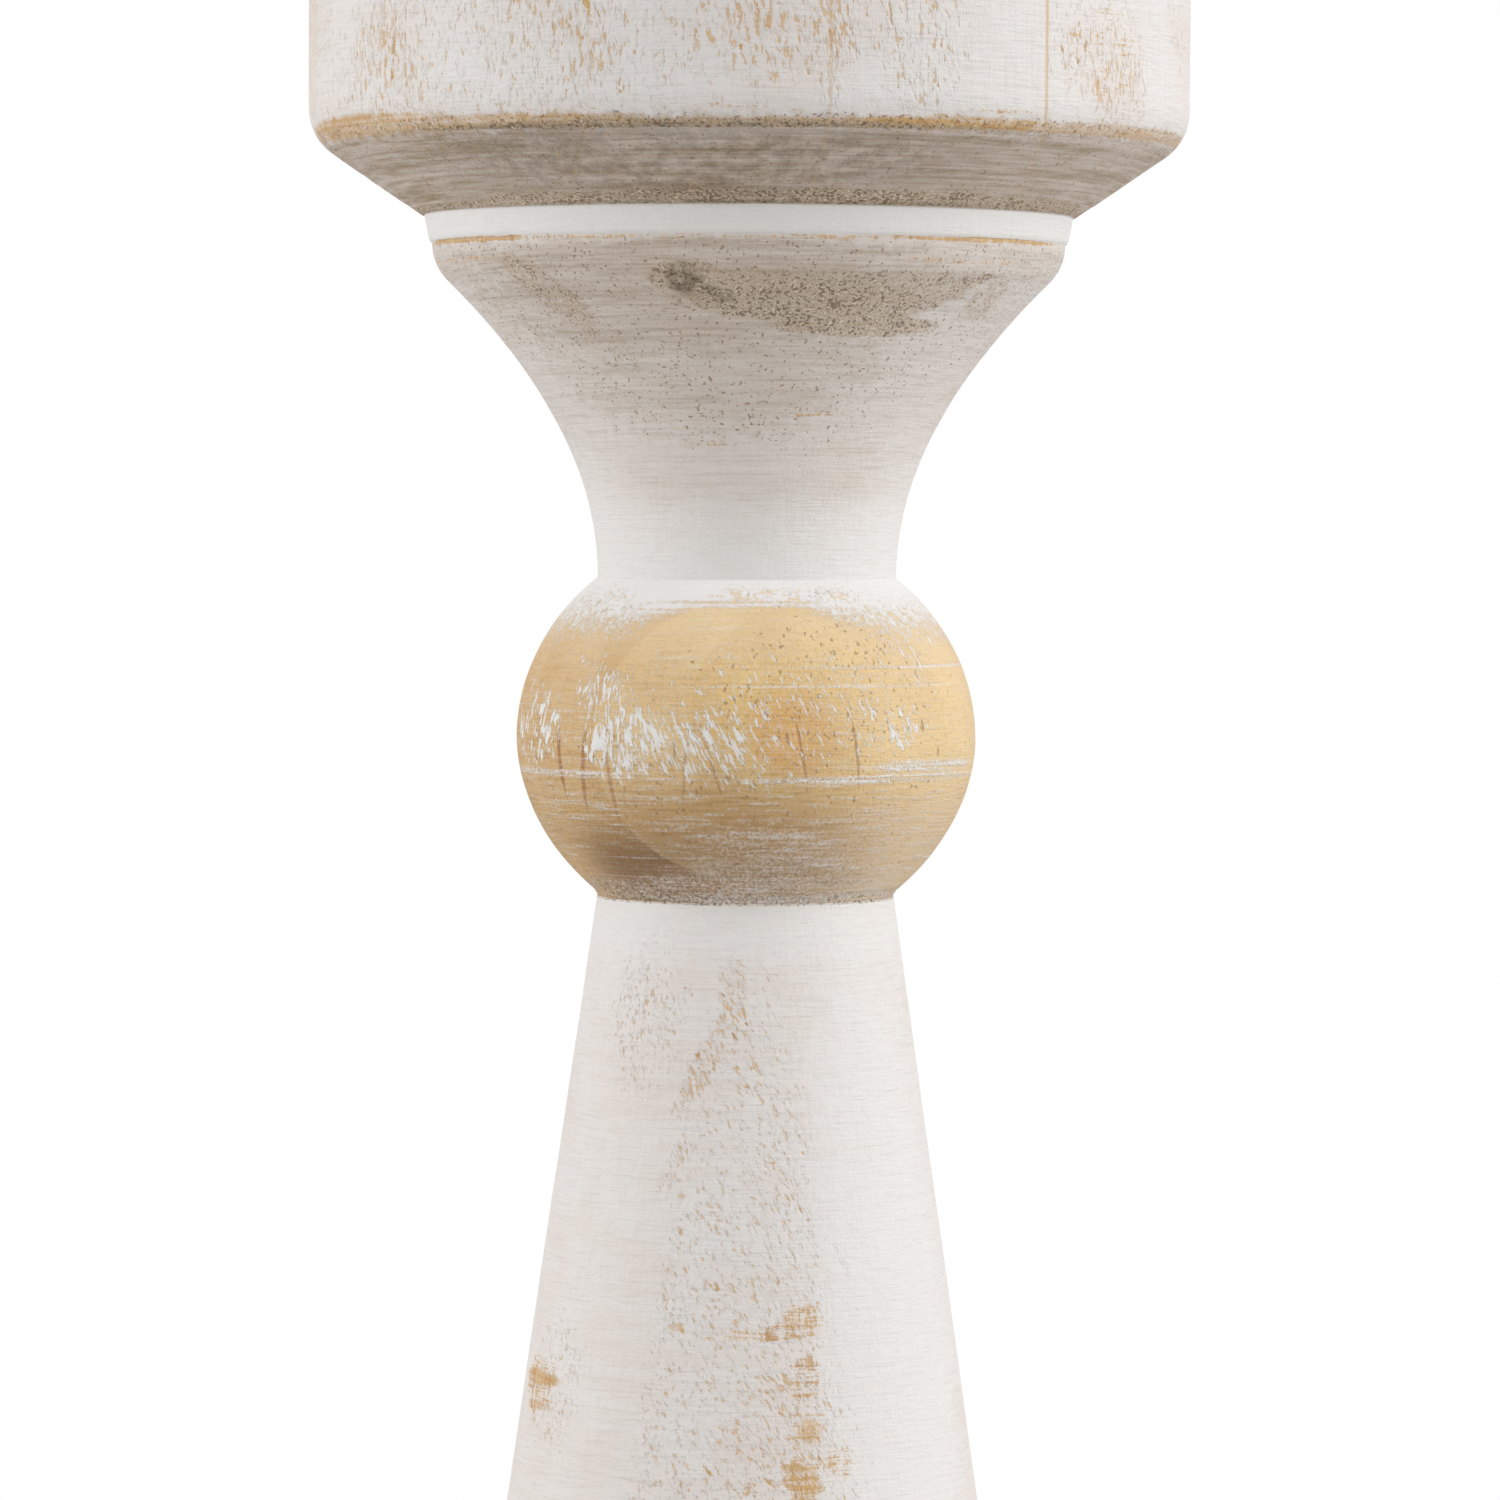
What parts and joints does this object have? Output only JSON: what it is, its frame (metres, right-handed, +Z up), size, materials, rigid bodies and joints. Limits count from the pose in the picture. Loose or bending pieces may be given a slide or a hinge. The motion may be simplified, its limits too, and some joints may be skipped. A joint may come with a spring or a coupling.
{
  "type": "candlestick",
  "caption": "Turned wooden candlestick with a drum-shaped cup, a flared neck, a ball, a tapered stem and a round foot, for a pillar candle.",
  "frame": {"origin": "middle of the underside, where the felt pads meet the table", "axes": "+Z up along the turning axis, towards the candle"},
  "size_m": [0.115, 0.115, 0.3268],
  "materials": {
    "limewashed_wood": "matt, brushed whitewash",
    "bare_wood": "oiled, with flecks of whitewash",
    "dowel_wood": "plain sanded beech",
    "pan_metal": "blackened sheet, worn at the rim",
    "spike_steel": "ground",
    "zinc_steel": "zinc plated",
    "felt": "pressed wool felt"
  },
  "bodies": {
    "root": {"cup_stave_1": "limewashed_wood", "cup_stave_2": "limewashed_wood", "cup_stave_3": "limewashed_wood", "cup_stave_4": "limewashed_wood", "drip_pan": "pan_metal", "candle_spike": "spike_steel", "neck": "limewashed_wood", "ball": "bare_wood", "centre_dowel": "dowel_wood", "stem": "limewashed_wood", "foot_stave_1": "limewashed_wood", "foot_stave_2": "limewashed_wood", "foot_stave_3": "limewashed_wood", "foot_stave_4": "limewashed_wood", "foot_screw": "zinc_steel", "foot_washer": "zinc_steel", "felt_pad_1": "felt", "felt_pad_2": "felt", "felt_pad_3": "felt", "felt_pad_4": "felt"}
  },
  "joints": []
}
